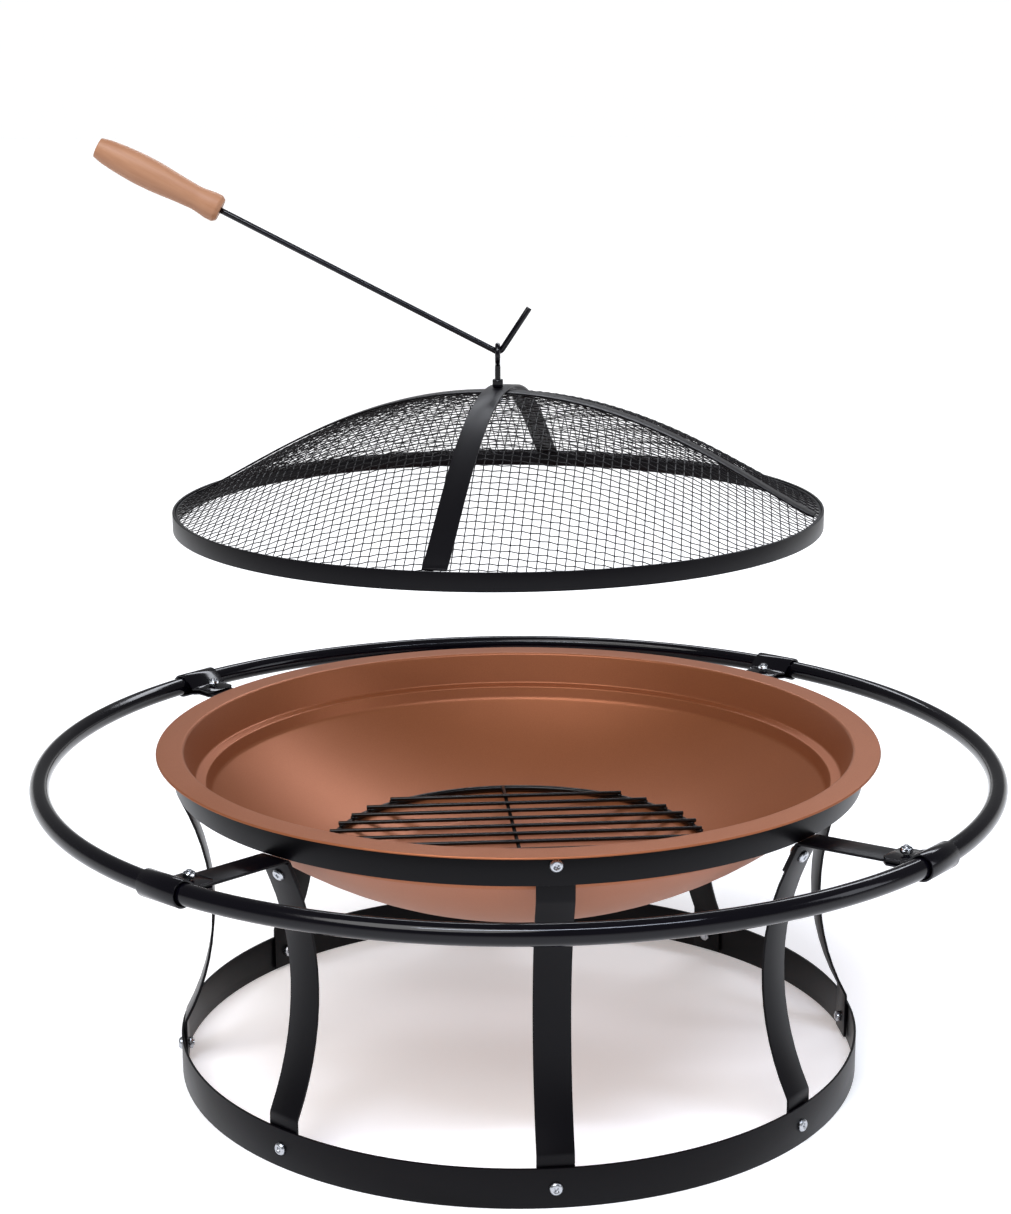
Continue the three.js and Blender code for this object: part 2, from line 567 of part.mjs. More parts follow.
// Turned file handle: swollen front end, waist, belly and a flat butt; blind hole for the rod.
function pokerHandle() {
  const bore = ROD_RADIUS + GAP;
  const profile = [
    [bore, 0], [10.5, 0], [13.2, 3.5], [13.2, 10], [11.4, 24], [12.2, 42], [14.2, 66], [14.6, 84],
    [13.4, 104], [11.8, 118], [9.5, HANDLE_LENGTH], [0, HANDLE_LENGTH]];
  const inside = [[0, ROD_IN_HANDLE + 1], [bore, ROD_IN_HANDLE + 1]];
  const handle = turned([...inside, ...profile], 12);
  const start = rad(270 - ROD_RISE);
  const place = [
    ROD_BEND * Math.cos(start) + longLeg[0] * ROD_LENGTH,
    EYE_TOP + ROD_BEND * Math.sin(start) + longLeg[1] * ROD_LENGTH];
  return handle.rotateY(rad(ROD_RISE - 90)).translate(place[0], 0, place[1]);
}

add('poker_rod', pokerRod(), paint(), screen);
add('poker_handle', pokerHandle(), beech(), screen);

export default group;
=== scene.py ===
# Round garden fire pit: the finished look of each piece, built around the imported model.
# Metres, +Z up, the front of the stand towards -Y. Angles are measured from the front to the right.

import math
import random

import bmesh
import bpy
from mathutils import Matrix, Vector


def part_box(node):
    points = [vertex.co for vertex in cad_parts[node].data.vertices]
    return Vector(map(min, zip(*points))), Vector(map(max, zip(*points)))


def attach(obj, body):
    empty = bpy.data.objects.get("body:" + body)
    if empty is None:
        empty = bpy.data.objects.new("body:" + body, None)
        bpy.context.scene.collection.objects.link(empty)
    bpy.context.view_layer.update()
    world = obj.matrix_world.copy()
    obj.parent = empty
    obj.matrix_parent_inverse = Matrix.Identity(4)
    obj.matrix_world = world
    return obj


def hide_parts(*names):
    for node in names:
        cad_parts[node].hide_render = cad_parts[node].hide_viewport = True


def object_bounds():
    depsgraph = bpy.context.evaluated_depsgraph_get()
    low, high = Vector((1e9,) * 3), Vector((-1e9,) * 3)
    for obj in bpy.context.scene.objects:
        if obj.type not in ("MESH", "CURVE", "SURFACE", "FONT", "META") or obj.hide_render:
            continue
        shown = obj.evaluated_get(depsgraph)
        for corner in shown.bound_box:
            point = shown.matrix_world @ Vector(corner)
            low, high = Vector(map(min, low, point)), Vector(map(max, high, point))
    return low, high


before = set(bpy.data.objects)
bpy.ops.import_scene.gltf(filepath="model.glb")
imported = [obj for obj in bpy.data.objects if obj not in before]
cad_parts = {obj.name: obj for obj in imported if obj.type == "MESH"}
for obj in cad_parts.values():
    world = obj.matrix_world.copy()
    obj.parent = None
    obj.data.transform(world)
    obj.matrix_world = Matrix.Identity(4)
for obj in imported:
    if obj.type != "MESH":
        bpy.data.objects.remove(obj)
cad_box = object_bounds()

# ------------------------------------------------------------------ camera
# A camera a little over two metres from the pit and about a metre up, looking down
# into the bowl.
camera = bpy.data.objects.new("camera", bpy.data.cameras.new("camera"))
bpy.context.scene.collection.objects.link(camera)
camera.data.lens = 67.34
camera.data.sensor_width = 36
camera_pan, camera_roll = 0.0055, -0.0035
camera_down = math.radians(13.42)
camera_tilt = math.pi / 2 - camera_down
look = (Matrix.Rotation(camera_pan, 4, "Z") @ Matrix.Rotation(camera_tilt, 4, "X")
        @ Matrix.Rotation(camera_roll, 4, "Z"))
camera.matrix_world = Matrix.Translation((0, -2.1537, 0.9755)) @ look
bpy.context.scene.camera = camera


# ------------------------------------------------------------------ floor and studio light
# A matt white floor, a broad daylight from the front left, three soft boxes and a surround that is
# white near the horizon and dimmer overhead, so that black paint stays black.
def linear(hex_colour):
    """An sRGB hex colour as the linear values that the nodes take."""
    parts = [int(hex_colour[i:i + 2], 16) / 255 for i in (1, 3, 5)]
    return [c / 12.92 if c <= 0.04045 else ((c + 0.055) / 1.055) ** 2.4 for c in parts] + [1]


def add_node(material, kind, values=None, links=None, **settings):
    """Adds one node with its settings, its constant inputs and its links."""
    made = material.node_tree.nodes.new(kind)
    for name, value in settings.items():
        setattr(made, name, value)
    for socket, value in (values or {}).items():
        made.inputs[socket].default_value = value
    for socket, source in (links or {}).items():
        material.node_tree.links.new(source, made.inputs[socket])
    return made


def new_material(name, colour, roughness, metallic=0.0):
    """A material with its shader set to plain values. Returns the material and the shader."""
    material = bpy.data.materials.new(name)
    material.use_nodes = True
    shader = material.node_tree.nodes["Principled BSDF"]
    shader.inputs["Base Color"].default_value = linear(colour)
    shader.inputs["Roughness"].default_value = roughness
    shader.inputs["Metallic"].default_value = metallic
    return material, shader


floor_size, under_feet = 60, 0.0002
bpy.ops.object.select_all(action="DESELECT")
bpy.ops.mesh.primitive_plane_add(size=floor_size, location=(0, 0, cad_box[0].z - under_feet))
floor = bpy.context.object
floor.name = "studio_floor"
# White studio card: no gloss, and a little light of its own, so that its shadows stay faint.
matt_white, floor_shader = new_material("matt_white_floor", "#F7F7F8", 0.9)
floor_shader.inputs["Specular IOR Level"].default_value = 0.1
floor_shader.inputs["Emission Color"].default_value = linear("#FFFFFF")
floor_shader.inputs["Emission Strength"].default_value = 0.32
floor.data.materials.append(matt_white)

world = bpy.data.worlds.new("studio")
world.use_nodes = True
surround = world.node_tree.nodes["Background"]
surround.inputs["Color"].default_value = linear("#FCFDFF")
direction = add_node(world, "ShaderNodeTexCoord").outputs["Generated"]
upward = add_node(world, "ShaderNodeSeparateXYZ", {}, {"Vector": direction}).outputs["Z"]
horizon_glow, overhead_glow = 1.03, 0.22
fade = add_node(world, "ShaderNodeMapRange",
                {"From Min": 0.035, "From Max": 0.15, "To Min": horizon_glow,
                 "To Max": overhead_glow}, {"Value": upward})
world.node_tree.links.new(fade.outputs["Result"], surround.inputs["Strength"])
bpy.context.scene.world = world
bpy.context.scene.view_settings.view_transform = "Standard"

daylight = bpy.data.lights.new("window_light", "SUN")
daylight.energy, daylight.angle = 2.3, math.radians(40)
daylight_way = Vector((0.65, 1.15, -1.9))
daylight_holder = bpy.data.objects.new("window_light", daylight)
bpy.context.scene.collection.objects.link(daylight_holder)
daylight_holder.rotation_euler = daylight_way.to_track_quat("-Z", "Y").to_euler()


def soft_box(name, place, target, width, depth, power, colour="#FFFFFF"):
    """A rectangular studio lamp at a place, turned to face a target."""
    lamp = bpy.data.lights.new(name, "AREA")
    lamp.shape = "RECTANGLE"
    lamp.size, lamp.size_y, lamp.energy = width, depth, power
    lamp.color = linear(colour)[:3]
    holder = bpy.data.objects.new(name, lamp)
    bpy.context.scene.collection.objects.link(holder)
    holder.location = place
    holder.rotation_euler = (Vector(target) - Vector(place)).to_track_quat("-Z", "Y").to_euler()


soft_box("top_light", (0.35, -1.6, 2.9), (0.1, 0, 0.3), 2.6, 0.16, 62, "#E4EDFF")
soft_box("right_light", (2.6, -0.6, 1.5), (0, 0, 0.3), 0.7, 1.2, 9, "#F2F6FF")
soft_box("back_light", (0.5, 2.3, 2.3), (0, 0, 0.5), 2.4, 0.4, 30, "#F4F7FF")


# ------------------------------------------------------------------ base ring
# Flat mild-steel strap rolled into a hoop and butt-welded, standing on its edge. It is sprayed
# with satin black heat paint, which leaves a faint orange peel and soft rounded edges.
def deselect():
    """Leaves edit mode and lets go of everything, before a new piece is started."""
    if bpy.context.object and bpy.context.object.mode == "EDIT":
        bpy.ops.object.mode_set(mode="OBJECT")
    bpy.ops.object.select_all(action="DESELECT")


def start_section(width, thickness, radius, height, heading=90):
    """A flat strap's cut end, in front of the axis and square to a heading: 90 is straight up."""
    deselect()
    bpy.ops.mesh.primitive_plane_add(size=1, location=(0, -radius, height))
    bpy.ops.object.mode_set(mode="EDIT")
    bpy.ops.mesh.select_all(action="SELECT")
    bpy.ops.transform.resize(value=(width, thickness, 1))
    tip_over(90 - heading, (0, -radius, height))
    return bpy.context.object


def tip_over(degrees, pivot):
    """Turns all of the mesh being edited about a left-right line through the pivot."""
    mesh = bpy.context.object.data
    shape = bmesh.from_edit_mesh(mesh)
    pivot = bpy.context.object.matrix_world.inverted() @ Vector(pivot)
    turn = Matrix.Rotation(math.radians(degrees), 3, "X")
    bmesh.ops.rotate(shape, verts=shape.verts, cent=pivot, matrix=turn)
    bmesh.update_edit_mesh(mesh)


def settle(piece):
    """Leaves edit mode and puts the piece's place into its mesh."""
    bpy.ops.object.mode_set(mode="OBJECT")
    bpy.ops.object.transform_apply(location=True, rotation=True, scale=True)
    return piece


deburred = 0.0005
smooth_below = math.radians(35)
smooth_turned_below = math.radians(40)


def soften(piece, width, segments=2, angle=50):
    """Rounds a piece's sharp edges and shades it smooth between them."""
    rounding = piece.modifiers.new("rounded edges", "BEVEL")
    rounding.width, rounding.segments = width, segments
    rounding.limit_method, rounding.angle_limit = "ANGLE", math.radians(angle)
    bpy.ops.object.modifier_apply(modifier=rounding.name)
    bpy.ops.object.shade_smooth_by_angle(angle=smooth_below)


def hand_over(piece, name, body, slot, material, *nodes):
    """Names a finished piece, paints it, fixes it to its body and hides the nodes it stands for."""
    piece.name = piece.data.name = name
    piece.data.materials.clear()
    piece.data.materials.append(material)
    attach(piece, body)
    if nodes:
        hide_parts(*nodes)


full_turn = 2 * math.pi
hoop_steps = 180
same_point = 1e-6


def rolled_hoop(outer, low, high, steel, centre=(0, 0)):
    """A strap standing on edge and rolled into a hoop: its section's outline spun once round."""
    piece = start_section(high - low, steel, 0, 0)
    shape = bmesh.from_edit_mesh(piece.data)
    for corner in shape.verts:
        across, up = corner.co.y, corner.co.x
        corner.co = (centre[0] + outer - steel / 2 + across, centre[1], (low + high) / 2 + up)
    bmesh.update_edit_mesh(piece.data)
    bpy.ops.mesh.delete(type="ONLY_FACE")
    bpy.ops.mesh.select_all(action="SELECT")
    bpy.ops.mesh.spin(steps=hoop_steps, angle=full_turn, center=(*centre, 0), axis=(0, 0, 1))
    bpy.ops.mesh.select_all(action="SELECT")
    bpy.ops.mesh.remove_doubles(threshold=same_point)
    bpy.ops.mesh.normals_make_consistent(inside=False)
    settle(piece)
    soften(piece, deburred)
    return piece


def repeats(millimetres):
    """How many times a pattern of a real size repeats in a metre: a noise texture's scale."""
    return 1000 / millimetres


# Heat paint is sprayed thin and dries flat, so it is a deep black with a low sheen. The sheen
# drifts over about 70 mm, and the spray leaves an orange peel about 1.4 mm across.
heat_paint, paint_shader = new_material("satin_black_heat_paint", "#060508", 0.4)
paint_shader.inputs["Specular IOR Level"].default_value = 0.12
where = add_node(heat_paint, "ShaderNodeTexCoord").outputs["Object"]
patches = add_node(heat_paint, "ShaderNodeTexNoise", {"Scale": repeats(71.4), "Detail": 4},
                   {"Vector": where})
spread = add_node(heat_paint, "ShaderNodeMapRange", {"To Min": 0.30, "To Max": 0.42},
                  {"Value": patches.outputs["Fac"]})
heat_paint.node_tree.links.new(spread.outputs["Result"], paint_shader.inputs["Roughness"])
peel = add_node(heat_paint, "ShaderNodeTexNoise", {"Scale": repeats(1.43), "Detail": 2},
                {"Vector": where})
bumps = add_node(heat_paint, "ShaderNodeBump", {"Strength": 0.25, "Distance": 0.0001},
                 {"Height": peel.outputs["Fac"]})
heat_paint.node_tree.links.new(bumps.outputs["Normal"], paint_shader.inputs["Normal"])

strap_steel = 0.0025
base_low, base_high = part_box("base_ring")
base_radius = (base_high.x - base_low.x) / 2
base_hoop = rolled_hoop(base_radius, base_low.z, base_high.z, strap_steel)
hand_over(base_hoop, "base_hoop", "stand", "black_paint", heat_paint, "base_ring")

# ------------------------------------------------------------------ top ring
# The same strap in a narrower width, rolled to sit just under the bowl's flange, which hangs on
# it. Painted with the rest of the stand.
top_low, top_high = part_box("top_ring")
top_radius = (top_high.x - top_low.x) / 2
top_hoop = rolled_hoop(top_radius, top_low.z, top_high.z, strap_steel)
hand_over(top_hoop, "top_hoop", "stand", "black_paint", heat_paint, "top_ring")


# ------------------------------------------------------------------ legs
# Eight straps pressed to an inward bow. Four stand plain against the top ring; between them the
# bracket legs stop short and lean out to carry the arms. Cut ends are square and deburred.
def form(route, arc=4.0):
    """Extrudes what is selected through corners of [radius, height, bend radius], as a bending
    jig does: straight to each corner and round it, with a step about every `arc` degrees."""
    corners = [Vector(corner[:2]) for corner in route]
    bend = [corner[2] if len(corner) > 2 else 0 for corner in route]
    here = corners[0]
    for i in range(1, len(route)):
        way = (corners[i] - corners[i - 1]).normalized()
        turn = tangent = 0.0
        if i + 1 < len(route):
            onward = (corners[i + 1] - corners[i]).normalized()
            turn = -way.angle_signed(onward)
            tangent = bend[i] * math.tan(abs(turn) / 2)
        stop = corners[i] - way * tangent
        step = stop - here
        if step.length > same_point:
            bpy.ops.mesh.extrude_region_move(
                TRANSFORM_OT_translate={"value": (0, -step.x, step.y)})
        here = stop
        if tangent:
            middle = stop + Vector((-way.y, way.x)) * math.copysign(bend[i], turn)
            bpy.ops.mesh.spin(
                steps=max(2, round(abs(math.degrees(turn)) / arc)), angle=turn,
                center=(0, -middle.x, middle.y), axis=(1, 0, 0))
            here = corners[i] + onward * tangent


def close_up(piece):
    """Merges doubled points, turns all faces outwards and leaves edit mode."""
    bpy.ops.mesh.select_all(action="SELECT")
    bpy.ops.mesh.remove_doubles(threshold=same_point)
    bpy.ops.mesh.normals_make_consistent(inside=False)
    return settle(piece)


def turned_copy(piece, degrees):
    """A copy with its own mesh, turned about the upright axis."""
    twin = piece.copy()
    twin.data = piece.data.copy()
    twin.data.transform(Matrix.Rotation(math.radians(degrees), 4, "Z"))
    bpy.context.scene.collection.objects.link(twin)
    return twin


first_leg_angle = 5.5
leg_angles = [first_leg_angle + 45 * i for i in range(8)]
leg_width = 0.034
leg_low, leg_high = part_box("leg_1")
fit_gap = 0.0003
ring_inset = 1.5 * strap_steel + 4 * fit_gap
leg_foot = base_radius - ring_inset
leg_head = top_radius - ring_inset
waist_radius, waist_height, bow_radius = 0.304, 0.168, 0.246
bow_centre = waist_radius + bow_radius
lean_degrees = 24.5
foot_slope, head_slope, lean_slope = (math.radians(slope) for slope in (28.5, 27.3, lean_degrees))
small_bend = 0.009


def bow_corner(low_slope, high_slope):
    """Where the straight lines that run on from the two ends of the bow would meet."""
    reach = bow_radius / math.cos((low_slope + high_slope) / 2)
    skew = (low_slope - high_slope) / 2
    return bow_centre - reach * math.cos(skew), waist_height - reach * math.sin(skew)


def bowed_leg(high_slope, head_radius, head_height, straight_head):
    """A leg's route: up from the foot, in and out along the bow, and up or outwards to its head."""
    waist, bend_height = bow_corner(foot_slope, high_slope)
    kink = bend_height - (leg_foot - waist) / math.tan(foot_slope)
    route = [[leg_foot, leg_low.z], [leg_foot, kink, small_bend], [waist, bend_height, bow_radius]]
    if straight_head:
        upper_kink = bend_height + (head_radius - waist) / math.tan(high_slope)
        route += [[head_radius, upper_kink, small_bend], [head_radius, head_height]]
    else:
        route += [[waist + (head_height - bend_height) * math.tan(high_slope), head_height]]
    piece = start_section(leg_width, strap_steel, *route[0])
    form(route)
    close_up(piece)
    soften(piece, deburred)
    return piece


plain_leg = bowed_leg(head_slope, leg_head, leg_high.z, True)
bracket_leg = bowed_leg(lean_slope, 0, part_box("leg_2")[1].z, False)
for number, angle in enumerate(leg_angles, 1):
    leg = turned_copy(bracket_leg if number % 2 == 0 else plain_leg, angle)
    hand_over(leg, f"bowed_leg_{number}", "stand", "black_paint", heat_paint, f"leg_{number}")
bpy.data.objects.remove(plain_leg)
bpy.data.objects.remove(bracket_leg)


# ------------------------------------------------------------------ leg screws and nuts
# M6 pan-head machine screws with a cross recess and plain hex nuts, zinc plated. They hold each
# leg to the base ring and to the top ring or to its bracket arm.
def start_line(radius, height):
    """A single point in front of the axis, for a line that form() draws on."""
    deselect()
    bpy.ops.mesh.primitive_plane_add(size=1, location=(0, -radius, height))
    bpy.ops.object.mode_set(mode="EDIT")
    bpy.ops.mesh.merge(type="CENTER")
    return bpy.context.object


def lathe(route, steps, arc=12.0):
    """Draws an outline through corners of [radius, height, bend radius] and spins it once round."""
    piece = start_line(*route[0][:2])
    form(route, arc)
    bpy.ops.mesh.select_all(action="SELECT")
    bpy.ops.mesh.spin(steps=steps, angle=full_turn, center=(0, 0, 0), axis=(0, 0, 1))
    return close_up(piece)


def combine(piece, other, operation):
    """Joins another solid to a piece, or cuts it away, and removes the other."""
    deselect()
    piece.select_set(True)
    bpy.context.view_layer.objects.active = piece
    joint = piece.modifiers.new("combine", "BOOLEAN")
    joint.operation, joint.object = operation, other
    bpy.ops.object.modifier_apply(modifier=joint.name)
    bpy.data.objects.remove(other)


def cross_recess(depth):
    """The solid that a cross-head driver's tip leaves in a head whose top is at `depth`."""
    arms = []
    for turn in (0, 90):
        deselect()
        bpy.ops.mesh.primitive_cube_add(size=1, location=(0, 0, depth))
        bpy.ops.object.mode_set(mode="EDIT")
        bpy.ops.transform.resize(value=(0.0076, 0.0021, 0.0048))
        shape = bmesh.from_edit_mesh(bpy.context.object.data)
        for corner in shape.verts:
            corner.select = corner.co.z < 0
        shape.select_flush_mode()
        bpy.ops.transform.resize(value=(0.4, 0.6, 1), center_override=(0, 0, depth))
        arm = settle(bpy.context.object)
        arm.data.transform(Matrix.Rotation(math.radians(turn), 4, "Z"))
        arms.append(arm)
    combine(arms[0], arms[1], "UNION")
    return arms[0]


def hex_nut(flats, height):
    """A plain nut standing on the origin: a hex bar with its corners turned off."""
    deselect()
    bpy.ops.mesh.primitive_cylinder_add(
        vertices=6, radius=flats / math.sqrt(3), depth=height, location=(0, 0, height / 2))
    nut = bpy.context.object
    bpy.ops.object.transform_apply(location=True)
    across = flats / math.sqrt(3)
    blank = lathe([[0, -0.001], [across - 0.0016, -0.001], [across + 0.0012, height / 2],
                   [across - 0.0016, height + 0.001], [0, height + 0.001]], 48)
    combine(nut, blank, "INTERSECT")
    soften(nut, 0.0002, 1, 25)
    return nut


def set_copy(master, name, slot, material, place, body="stand", nodes=()):
    """A copy of a small part, moved into place in its own mesh and handed over."""
    twin = master.copy()
    twin.data = master.data.copy()
    twin.data.transform(place)
    bpy.context.scene.collection.objects.link(twin)
    hand_over(twin, name, body, slot, material, *nodes)


# Bright zinc is plated over turned steel, so it is a cool grey metal with a soft shine. Its
# crystals are really about 0.1 mm and are drawn 1.1 mm across, coarse enough to show.
zinc_plate, zinc_shader = new_material("bright_zinc_plate", "#B2B5BA", 0.24, 1.0)
plate_where = add_node(zinc_plate, "ShaderNodeTexCoord").outputs["Object"]
plate_grain = add_node(zinc_plate, "ShaderNodeTexNoise", {"Scale": repeats(1.11), "Detail": 3},
                       {"Vector": plate_where})
plate_spread = add_node(zinc_plate, "ShaderNodeMapRange", {"To Min": 0.16, "To Max": 0.36},
                        {"Value": plate_grain.outputs["Fac"]})
zinc_plate.node_tree.links.new(plate_spread.outputs["Result"], zinc_shader.inputs["Roughness"])

head_height, head_radius, shank_radius = 0.0034, 0.006, 0.0029
screw_grip, nut_height, shank_past_nut = 0.0064, 0.0046, 0.0012
shank_end = -screw_grip - nut_height - shank_past_nut
pan_screw = lathe([
    [0, head_height - 0.0007], [0.0026, head_height - 0.0006, 0.002], [0.0035, head_height, 0.0006],
    [0.0048, 0.0031, 0.002], [head_radius, 0.0014, 0.0007], [head_radius, 0],
    [shank_radius, 0], [shank_radius, shank_end], [0, shank_end]], 40)
combine(pan_screw, cross_recess(head_height), "DIFFERENCE")
soften(pan_screw, 0.00012, 1, 40)
m6_across_flats = 0.0100
leg_nut = hex_nut(m6_across_flats, nut_height)
leg_nut.data.transform(Matrix.Translation((0, 0, -screw_grip - nut_height)))

outer_face = strap_steel / 2 + fit_gap
base_screw_height, top_screw_height = 0.019, 0.317
lean_screw_radius, lean_screw_height = 0.33115, 0.281
screw_turns = random.Random(4)
for number, angle in enumerate(leg_angles, 1):
    bracket = number % 2 == 0
    if bracket:
        upper = ("bracket", lean_screw_radius + outer_face * math.cos(lean_slope),
                 lean_screw_height - outer_face * math.sin(lean_slope), lean_degrees)
    else:
        upper = ("top", top_radius + fit_gap, top_screw_height, 0)
    for kind, radius, height, tilt in (
            ("base", base_radius + fit_gap, base_screw_height, 0), upper):
        place = (Matrix.Rotation(math.radians(angle), 4, "Z")
                 @ Matrix.Translation((0, -radius, height))
                 @ Matrix.Rotation(math.radians(90 + tilt), 4, "X")
                 @ Matrix.Rotation(screw_turns.uniform(0, math.pi), 4, "Z"))
        set_copy(pan_screw, f"{kind}_pan_screw_{number}", "zinc_screws", zinc_plate, place,
                 nodes=[f"{kind}_screw_{number}"])
        set_copy(leg_nut, f"{kind}_nut_{number}", "zinc_screws", zinc_plate, place)
bpy.data.objects.remove(leg_nut)

# ------------------------------------------------------------------ bracket arms
# A shorter strap with one end bent down to lie behind a bracket leg. It runs out under the top
# ring, rising a little, to carry the outer tube.
arm_width = 0.032
tab_radius, tab_height = 0.3222, 0.26816
elbow_height = 0.29685
elbow = tab_radius + (elbow_height - tab_height) * math.tan(lean_slope)
arm_end = 0.452
arm_rise = math.radians(3)


def arm_at(radius):
    """The height of the middle of the arm at a radius past its elbow."""
    return elbow_height + (radius - elbow) * math.tan(arm_rise)


elbow_bend = 0.004
arm = start_section(arm_width, strap_steel, tab_radius, tab_height, 90 - lean_degrees)
form([[tab_radius, tab_height], [elbow, elbow_height, elbow_bend], [arm_end, arm_at(arm_end)]])
close_up(arm)
soften(arm, deburred)
bracket_angles = leg_angles[1::2]
for number, angle in enumerate(bracket_angles, 1):
    hand_over(turned_copy(arm, angle), f"strap_arm_{number}", "stand", "black_paint", heat_paint,
              f"bracket_arm_{number}")
bpy.data.objects.remove(arm)

# ------------------------------------------------------------------ outer tube
# Four quarter circles of round steel tube. Each has one end drawn down to plug into the next,
# inside a clamp. The paint is thicker and glossier here than on the straps.

# Tube paint is flooded on thick, so it shows sharp streaks of light. Handling dulls it in areas
# about 110 mm across, and the wet coat sags in shallow waves about 6 mm across.
gloss_paint, gloss_shader = new_material("gloss_black_tube_paint", "#050409", 0.12)
gloss_shader.inputs["Specular IOR Level"].default_value = 0.25
where = add_node(gloss_paint, "ShaderNodeTexCoord").outputs["Object"]
handling = add_node(gloss_paint, "ShaderNodeTexNoise",
                    {"Scale": repeats(111), "Detail": 6, "Roughness": 0.6}, {"Vector": where})
dulling = add_node(gloss_paint, "ShaderNodeMapRange",
                   {"From Min": 0.4, "From Max": 0.75, "To Min": 0.08, "To Max": 0.2},
                   {"Value": handling.outputs["Fac"]})
gloss_paint.node_tree.links.new(dulling.outputs["Result"], gloss_shader.inputs["Roughness"])
runs = add_node(gloss_paint, "ShaderNodeTexNoise", {"Scale": repeats(6.25), "Detail": 1},
                {"Vector": where})
sag = add_node(gloss_paint, "ShaderNodeBump", {"Strength": 0.2, "Distance": 0.0002},
               {"Height": runs.outputs["Fac"]})
gloss_paint.node_tree.links.new(sag.outputs["Normal"], gloss_shader.inputs["Normal"])

tube_low, tube_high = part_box("outer_tube_1")
tube_height = (tube_low.z + tube_high.z) / 2
tube_radius = 0.0095
tube_ring_radius = tube_high.x - tube_radius
tube_wall = 0.0012
spigot_length = 0.020
spigot_turn = math.degrees(spigot_length / tube_ring_radius)
joint_gap = math.degrees(fit_gap / tube_ring_radius)


def spin_tube(degrees, steps):
    """Carries the open end of the tube on round the ring."""
    bpy.ops.mesh.spin(steps=steps, angle=-math.radians(degrees), center=(0, 0, 0), axis=(0, 0, 1))


spigot_radius = tube_radius - tube_wall - fit_gap
deselect()
bpy.ops.mesh.primitive_circle_add(
    vertices=32, radius=spigot_radius, rotation=(0, math.pi / 2, 0),
    location=(0, -tube_ring_radius, tube_height))
quarter = bpy.context.object
bpy.ops.object.transform_apply(location=True, rotation=True)
bpy.ops.object.mode_set(mode="EDIT")
bpy.ops.mesh.select_all(action="SELECT")
spin_tube(spigot_turn, 3)
bpy.ops.mesh.extrude_region_move(TRANSFORM_OT_translate={"value": (0, 0, 0)})
widen = tube_radius / spigot_radius
bpy.ops.transform.resize(value=(widen, widen, widen))
spin_tube(90 - joint_gap, 60)
close_up(quarter)
wall = quarter.modifiers.new("tube wall", "SOLIDIFY")
wall.thickness, wall.offset = tube_wall, -1
bpy.ops.object.modifier_apply(modifier=wall.name)
bpy.ops.object.shade_smooth_by_angle(angle=smooth_turned_below)
quarter.data.transform(Matrix.Rotation(math.radians(-spigot_turn), 4, "Z"))
for number, angle in enumerate(bracket_angles, 1):
    hand_over(turned_copy(quarter, angle), f"tube_quarter_{number}", "stand", "black_paint",
              gloss_paint, f"outer_tube_{number}")
bpy.data.objects.remove(quarter)

# ------------------------------------------------------------------ tube clamps
# A strip wrapped round the tube, its two ends pinching the arm from above and below. The strip
# is wider round the tube, and the corners of its ends are cut off.
clamp_steel, wrap_slack = 0.002, 0.0009
wrap = tube_radius + wrap_slack + clamp_steel / 2
plate_gap = strap_steel / 2 + fit_gap + clamp_steel / 2
plate_start, neck_start, neck_end, pinch = 0.423, 0.4415, 0.4455, 0.447
plate_width, sleeve_width, corner_cut = 0.036, 0.046, 0.005
centre_line = Vector((tube_ring_radius, tube_height))


def plate_at(radius, side):
    """A point in the middle of the upper plate (side 1) or the lower plate (side -1)."""
    return Vector((radius, arm_at(radius) + side * plate_gap))


def leaving_angle(side):
    """Where round the tube the strip leaves for the upper or the lower plate, in radians."""
    reach = plate_at(pinch, side) - centre_line
    angle = math.atan2(reach.y, reach.x) - side * math.acos(wrap / reach.length)
    return angle + (2 * math.pi if side > 0 else 0)


def wrap_corner(start, stop):
    """Where the lines meet that touch the wrap at two angles."""
    middle, reach = (start + stop) / 2, wrap / math.cos((stop - start) / 2)
    return [*(centre_line + Vector((math.cos(middle), math.sin(middle))) * reach), wrap]


def run_on(start, stop, side, old_width, width):
    """Runs the strip on along a plate and changes its width at the new end."""
    way = plate_at(stop, side) - plate_at(start, side)
    bpy.ops.mesh.extrude_region_move(TRANSFORM_OT_translate={"value": (0, -way.x, way.y)})
    bpy.ops.transform.resize(value=(width / old_width, 1, 1), center_override=(0, 0, 0))


end_width = plate_width - 2 * corner_cut
clamp = start_section(end_width, clamp_steel, *plate_at(plate_start, -1), 3)
run_on(plate_start, plate_start + corner_cut, -1, end_width, plate_width)
run_on(plate_start + corner_cut, neck_start, -1, plate_width, plate_width)
run_on(neck_start, neck_end, -1, plate_width, sleeve_width)
first, last, quarter_turn = leaving_angle(-1), leaving_angle(1), math.pi / 2
lower_bend, upper_bend = 0.004, 0.003
form([plate_at(neck_end, -1), [*plate_at(pinch, -1), lower_bend], wrap_corner(first, 0),
      wrap_corner(0, quarter_turn), wrap_corner(quarter_turn, last),
      [*plate_at(pinch, 1), upper_bend], plate_at(neck_end, 1)], 9)
run_on(neck_end, neck_start, 1, sleeve_width, plate_width)
run_on(neck_start, plate_start + corner_cut, 1, plate_width, plate_width)
run_on(plate_start + corner_cut, plate_start, 1, plate_width, end_width)
close_up(clamp)
soften(clamp, 0.0003)
for number, angle in enumerate(bracket_angles, 1):
    hand_over(turned_copy(clamp, angle), f"wrapped_clamp_{number}", "stand", "black_paint",
              gloss_paint, f"tube_clamp_{number}")
bpy.data.objects.remove(clamp)

# ------------------------------------------------------------------ clamp bolts and cap nuts
# An M6 pan-head bolt comes up through each clamp and its arm, and a chrome cap nut closes it on
# top. A few threads show between the clamp and the nut.

